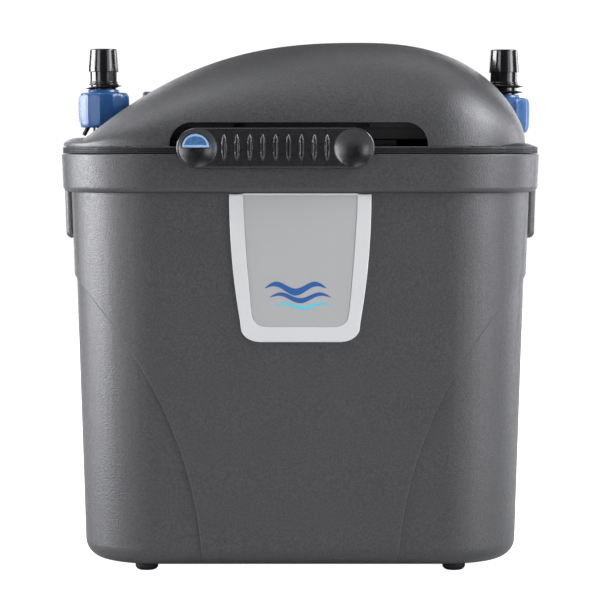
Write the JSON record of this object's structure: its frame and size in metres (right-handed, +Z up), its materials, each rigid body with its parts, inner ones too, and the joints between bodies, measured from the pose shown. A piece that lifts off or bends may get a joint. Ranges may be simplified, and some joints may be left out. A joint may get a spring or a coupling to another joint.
{
  "type": "canister filter",
  "caption": "Compact canister filter with a grey tub, domed lift-off pump head, sliding latch handle with blue lock button, and two hose ports with blue union nuts.",
  "frame": {"origin": "on the floor, under the middle of the object's bounding box", "axes": "+Z up; front with the badge and latch handle towards -Y; +X to the viewer's right, towards the outlet port"},
  "size_m": [0.21, 0.1595, 0.232],
  "materials": {
    "tub_plastic": "matte",
    "badge_pale": "satin",
    "badge_grey": "satin",
    "rubber": "matte",
    "basket_plastic": "satin",
    "coarse_foam": "matte",
    "fine_foam": "matte",
    "ceramic_media": "matte",
    "head_plastic": "satin",
    "black_plastic": "satin",
    "steel": "satin",
    "gloss_black": "gloss",
    "lamination": "satin",
    "copper": "satin",
    "shaft_ceramic": "gloss",
    "magnet": "satin",
    "white_plastic": "satin",
    "handle_plastic": "matte",
    "button_blue": "satin",
    "nut_blue": "satin"
  },
  "bodies": {
    "canister": {"canister": "tub_plastic", "badge_frame": "badge_pale", "badge_plate": "badge_grey", "rubber_feet": "rubber"},
    "lower_basket": {"lower_basket": "basket_plastic", "coarse_foam": "coarse_foam"},
    "upper_basket": {"upper_basket": "basket_plastic", "fine_foam": "fine_foam", "bio_rings": "ceramic_media"},
    "head": {"head_base": "head_plastic", "head_seal": "rubber", "head_cover": "tub_plastic", "latch_backplate": "black_plastic", "latch_rail": "black_plastic", "cover_screws": "steel", "inlet_port": "gloss_black", "outlet_port": "gloss_black", "port_seals": "rubber", "intake_riser": "black_plastic", "motor_housing": "black_plastic", "stator_core": "lamination", "stator_coils": "copper", "rotor_can": "black_plastic", "impeller_shaft": "shaft_ceramic", "shaft_bushes": "rubber", "volute_cover": "head_plastic", "volute_seal": "rubber", "volute_screws": "steel", "cable_gland": "black_plastic", "gland_bush": "rubber"},
    "rotor": {"rotor_magnet": "magnet", "impeller": "white_plastic"},
    "latch": {"latch_handle": "handle_plastic", "latch_carriage": "handle_plastic", "button_spring": "steel"},
    "lock_button": {"lock_button": "button_blue"},
    "inlet_tail": {"inlet_hose_tail": "gloss_black", "inlet_stop_ring": "rubber"},
    "inlet_nut": {"inlet_union_nut": "nut_blue"},
    "outlet_tail": {"outlet_hose_tail": "gloss_black", "outlet_stop_rings": "rubber"},
    "outlet_nut": {"outlet_union_nut": "nut_blue"}
  },
  "joints": [
    {"name": "head_lift", "type": "slide", "parent": "canister", "child": "head", "axis": [0, 0, 1], "range_m": [0, 0.4]},
    {"name": "upper_basket_lift", "type": "slide", "parent": "canister", "child": "upper_basket", "axis": [0, 0, 1], "range_m": [0, 0.281]},
    {"name": "lower_basket_lift", "type": "slide", "parent": "canister", "child": "lower_basket", "axis": [0, 0, 1], "range_m": [0, 0.181]},
    {"name": "latch_slide", "type": "slide", "parent": "head", "child": "latch", "axis": [1, 0, 0], "range_m": [0, 0.022]},
    {"name": "lock_button_press", "type": "slide", "parent": "latch", "child": "lock_button", "axis": [0, 1, 0], "range_m": [0, 0.0025], "stiffness_N_per_m": 300, "springref_m": -0.001},
    {"name": "inlet_tail_lift", "type": "slide", "parent": "head", "child": "inlet_tail", "axis": [0, 0, 1], "range_m": [0, 0.0075]},
    {"name": "inlet_nut_turn", "type": "hinge", "parent": "inlet_tail", "child": "inlet_nut", "pos_m": [-0.0898, 0.006, 0.2], "axis": [0, 0, 1], "range_deg": [0, 1082]},
    {"name": "outlet_tail_lift", "type": "slide", "parent": "head", "child": "outlet_tail", "axis": [0, 0, 1], "range_m": [0, 0.0075]},
    {"name": "outlet_nut_turn", "type": "hinge", "parent": "outlet_tail", "child": "outlet_nut", "pos_m": [0.093, 0.006, 0.2], "axis": [0, 0, 1], "range_deg": [0, 1082]},
    {"name": "impeller_spin", "type": "hinge", "parent": "head", "child": "rotor", "pos_m": [0, 0.006, 0.19], "axis": [0, 0, 1], "continuous": true}
  ],
  "couplings": [
    {"joint": "upper_basket_lift", "follows": "head_lift", "ratio": 0.7},
    {"joint": "lower_basket_lift", "follows": "head_lift", "ratio": 0.45},
    {"joint": "inlet_nut_turn", "follows": "inlet_tail_lift", "rad_per_m": 2513.3},
    {"joint": "outlet_nut_turn", "follows": "outlet_tail_lift", "rad_per_m": 2513.3}
  ]
}
